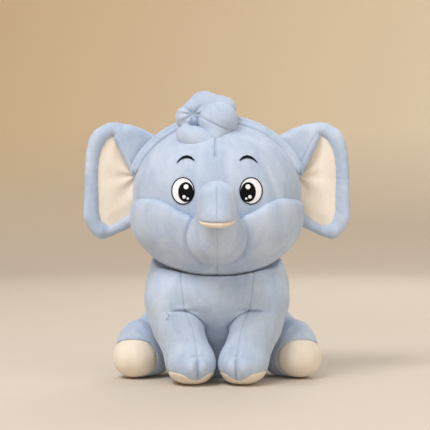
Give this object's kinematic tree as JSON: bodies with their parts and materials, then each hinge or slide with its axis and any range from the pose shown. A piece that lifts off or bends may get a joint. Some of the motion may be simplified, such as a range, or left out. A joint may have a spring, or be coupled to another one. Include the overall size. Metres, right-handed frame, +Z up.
{
  "type": "stuffed elephant",
  "caption": "Seated plush elephant with wide ears, a raised curled trunk, a knotted headband, embroidered eyes and soft jointed legs, pale blue with cream ear linings and feet.",
  "frame": {"origin": "middle of the flat that the torso sits on, on the ground", "axes": "+Z up, the face looks along -Y, the toy's own left side is +X"},
  "size_m": [0.3424, 0.3324, 0.3684],
  "materials": {
    "blue_plush": "short-pile velvet plush",
    "cream_plush": "short-pile velvet plush",
    "black_embroidery": "satin-stitch rayon thread",
    "white_embroidery": "satin-stitch rayon thread",
    "polyester_filling": "loose polyester fibre"
  },
  "bodies": {
    "torso": {"torso_base_panel": "blue_plush", "torso_chest_panel": "blue_plush", "torso_left_panel": "blue_plush", "torso_right_panel": "blue_plush", "torso_stuffing": "polyester_filling"},
    "head": {"cheek_left_panel": "blue_plush", "cheek_right_panel": "blue_plush", "eye_left_brow": "black_embroidery", "eye_left_glints": "white_embroidery", "eye_left_outline": "black_embroidery", "eye_left_pupil": "black_embroidery", "eye_left_white": "white_embroidery", "eye_right_brow": "black_embroidery", "eye_right_glints": "white_embroidery", "eye_right_outline": "black_embroidery", "eye_right_pupil": "black_embroidery", "eye_right_white": "white_embroidery", "head_back_panel": "blue_plush", "head_forehead_panel": "blue_plush", "head_stuffing": "polyester_filling", "headband_cover": "blue_plush", "headband_padding": "polyester_filling", "knot_lower_loop": "blue_plush", "knot_lower_stuffing": "polyester_filling", "knot_upper_loop": "blue_plush", "knot_upper_stuffing": "polyester_filling"},
    "trunk": {"trunk_left_panel": "blue_plush", "trunk_right_panel": "blue_plush", "trunk_stuffing": "polyester_filling", "trunk_tip_cap": "cream_plush"},
    "ear_left": {"ear_left_back_panel": "blue_plush", "ear_left_inner_panel": "cream_plush", "ear_left_padding": "polyester_filling", "ear_left_rim": "blue_plush"},
    "ear_right": {"ear_right_back_panel": "blue_plush", "ear_right_inner_panel": "cream_plush", "ear_right_padding": "polyester_filling", "ear_right_rim": "blue_plush"},
    "front_leg_left": {"front_leg_left_cover": "blue_plush", "front_leg_left_sole": "cream_plush", "front_leg_left_stuffing": "polyester_filling"},
    "front_leg_right": {"front_leg_right_cover": "blue_plush", "front_leg_right_sole": "cream_plush", "front_leg_right_stuffing": "polyester_filling"},
    "hind_leg_left": {"hind_leg_left_cover": "blue_plush", "hind_leg_left_foot_pad": "cream_plush", "hind_leg_left_stuffing": "polyester_filling"},
    "hind_leg_right": {"hind_leg_right_cover": "blue_plush", "hind_leg_right_foot_pad": "cream_plush", "hind_leg_right_stuffing": "polyester_filling"},
    "tail": {"tail_cover": "blue_plush", "tail_stuffing": "polyester_filling", "tail_tuft": "blue_plush"}
  },
  "joints": [
    {"name": "head_turn", "type": "hinge", "parent": "torso", "child": "head", "pos_m": [0, -0.019, 0.15], "axis": [0, 0, 1], "range_deg": [-20, 20], "stiffness_Nm_per_rad": 1.5},
    {"name": "trunk_bend", "type": "hinge", "parent": "head", "child": "trunk", "pos_m": [0, -0.11038, 0.1865], "axis": [-1, 0, 0], "range_deg": [-8, 8], "stiffness_Nm_per_rad": 3},
    {"name": "ear_left_flap", "type": "hinge", "parent": "head", "child": "ear_left", "pos_m": [0.109, -0.001, 0.24], "axis": [0, 0, -1], "range_deg": [-18, 20], "stiffness_Nm_per_rad": 0.4},
    {"name": "ear_right_flap", "type": "hinge", "parent": "head", "child": "ear_right", "pos_m": [-0.109, -0.001, 0.24], "axis": [0, 0, 1], "range_deg": [-18, 20], "stiffness_Nm_per_rad": 0.4},
    {"name": "front_leg_left_swing", "type": "hinge", "parent": "torso", "child": "front_leg_left", "pos_m": [0.05577, -0.06415, 0.092], "axis": [-1, 0, 0], "range_deg": [0, 12], "stiffness_Nm_per_rad": 3},
    {"name": "front_leg_right_swing", "type": "hinge", "parent": "torso", "child": "front_leg_right", "pos_m": [-0.05577, -0.06415, 0.092], "axis": [-1, 0, 0], "range_deg": [0, 12], "stiffness_Nm_per_rad": 3},
    {"name": "hind_leg_left_lift", "type": "hinge", "parent": "torso", "child": "hind_leg_left", "pos_m": [0.07243, 0.00761, 0.05], "axis": [-0.7649, -0.6441, 0], "range_deg": [0, 15], "stiffness_Nm_per_rad": 3},
    {"name": "hind_leg_right_lift", "type": "hinge", "parent": "torso", "child": "hind_leg_right", "pos_m": [-0.07243, 0.00761, 0.05], "axis": [-0.7649, 0.6441, 0], "range_deg": [0, 15], "stiffness_Nm_per_rad": 3},
    {"name": "tail_wag", "type": "hinge", "parent": "torso", "child": "tail", "pos_m": [0, 0.091, 0.062], "axis": [0, 0.7431, 0.6691], "range_deg": [-25, 25], "stiffness_Nm_per_rad": 0.2}
  ]
}
